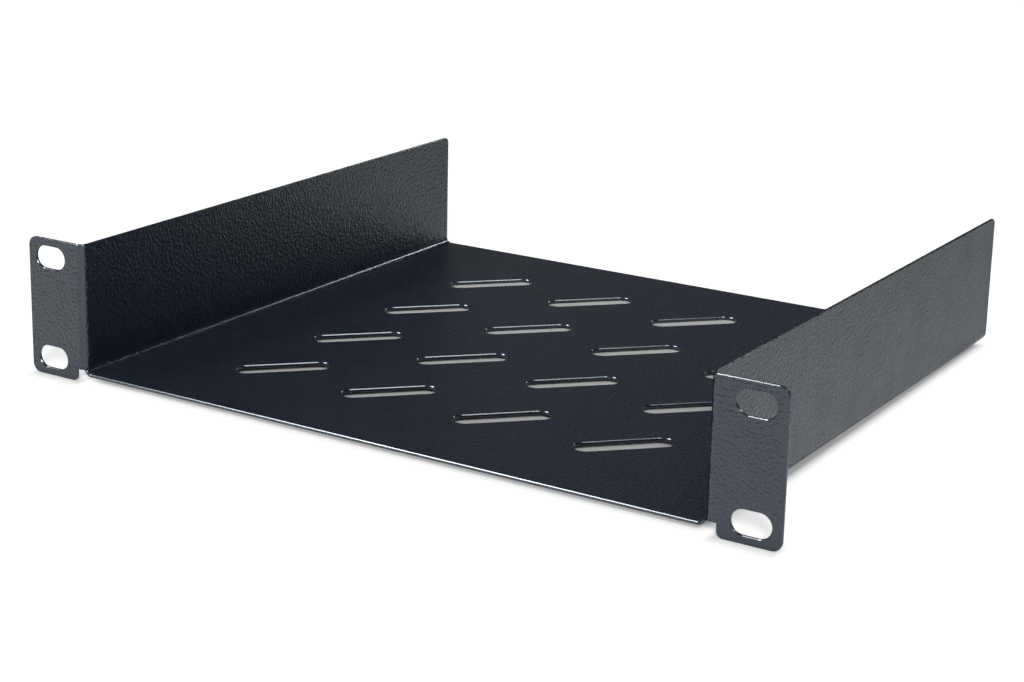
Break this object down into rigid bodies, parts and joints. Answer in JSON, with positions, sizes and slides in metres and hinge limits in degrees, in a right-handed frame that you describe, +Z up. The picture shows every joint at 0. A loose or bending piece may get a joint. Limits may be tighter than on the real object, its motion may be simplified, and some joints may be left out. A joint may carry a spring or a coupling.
{
  "type": "rack shelf",
  "caption": "Vented shelf for a ten-inch rack, folded from one steel sheet: flat tray with slanted vent slots, a wall up each side and slotted fixing ears at the front.",
  "frame": {"origin": "centre of the four ear slots, in the plane of the ears' back faces, which bear on the rack's rails", "axes": "+X to the right as seen from the front, +Y from the front of the rack to its rear, +Z up"},
  "size_m": [0.254, 0.2, 0.0434],
  "materials": {
    "powder_coat": "black powder coat with a fine leathery texture, semi-matt"
  },
  "bodies": {
    "root": {"shelf": "powder_coat"}
  },
  "joints": []
}
